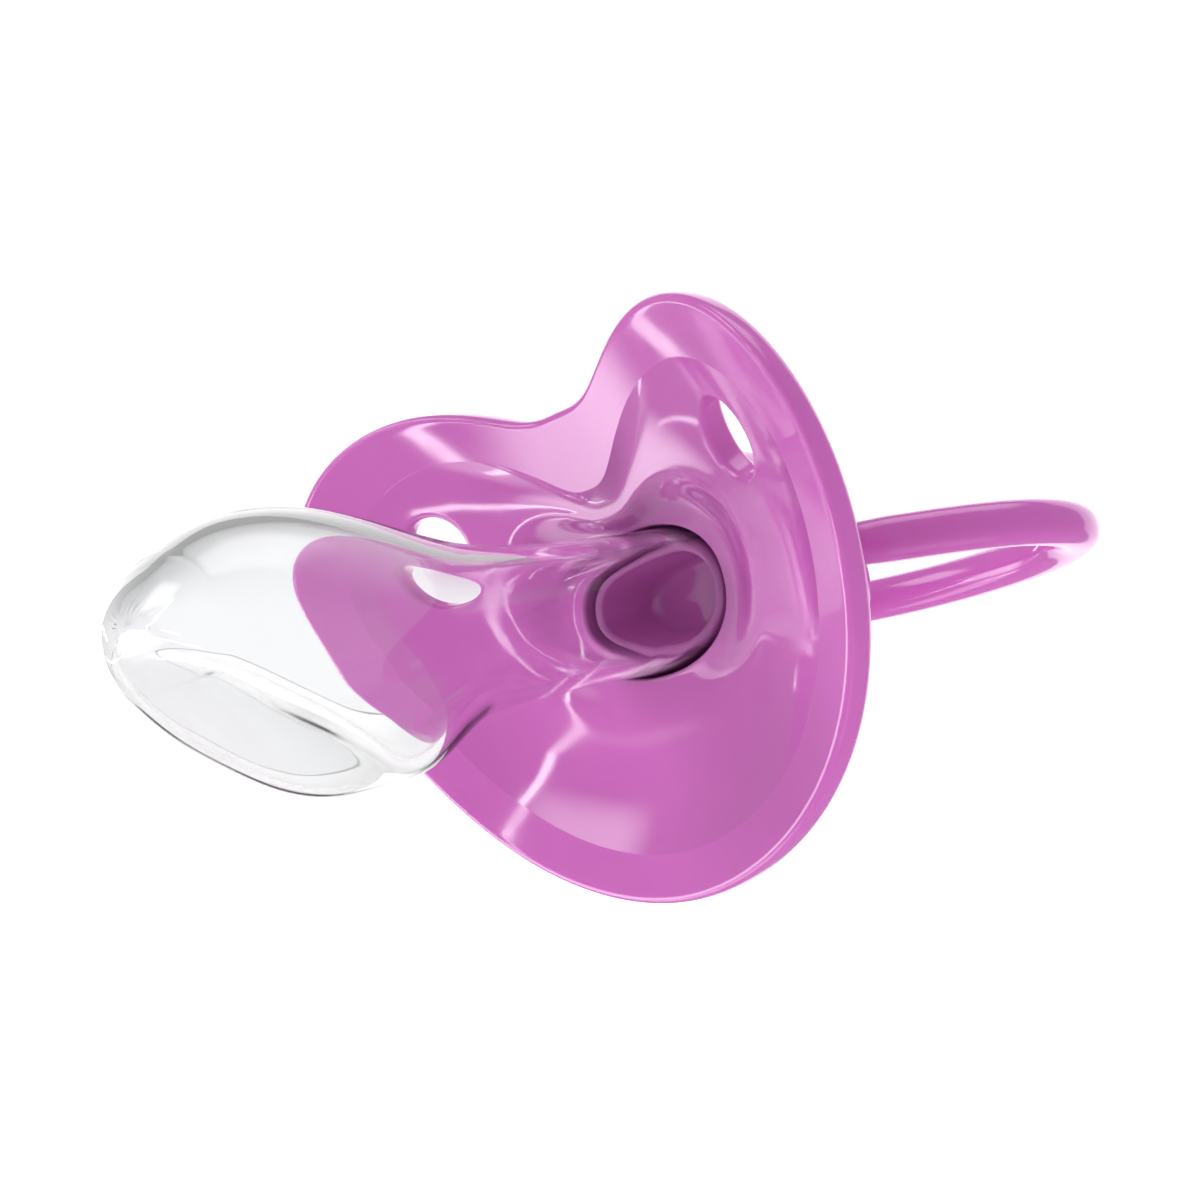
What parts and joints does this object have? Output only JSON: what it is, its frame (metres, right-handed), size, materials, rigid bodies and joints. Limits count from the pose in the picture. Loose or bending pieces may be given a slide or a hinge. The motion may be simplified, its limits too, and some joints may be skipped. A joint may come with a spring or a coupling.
{
  "type": "baby pacifier",
  "caption": "Baby pacifier with a butterfly shield, a hollow clear silicone teat, a domed rear cap and an oval ring handle that swings on the cap.",
  "frame": {"origin": "centre of the rear cap's flat back face", "axes": "+Y out of the back face, away from the teat; +Z towards the shield's nose notch; +X across the shield"},
  "size_m": [0.0528, 0.0651, 0.0335],
  "materials": {
    "shield_plastic": "polished",
    "clear_silicone": "clear",
    "insert_plastic": "polished",
    "cap_plastic": "polished",
    "ring_plastic": "polished"
  },
  "bodies": {
    "soother": {"shield": "shield_plastic", "teat": "clear_silicone", "teat_insert": "insert_plastic", "rear_cap": "cap_plastic"},
    "ring": {"ring_handle": "ring_plastic"}
  },
  "joints": [
    {"name": "ring_hinge", "type": "hinge", "parent": "soother", "child": "ring", "pos_m": [0, -0.003, 0.0005], "axis": [1, 0, 0], "range_deg": [-103, 116]}
  ]
}
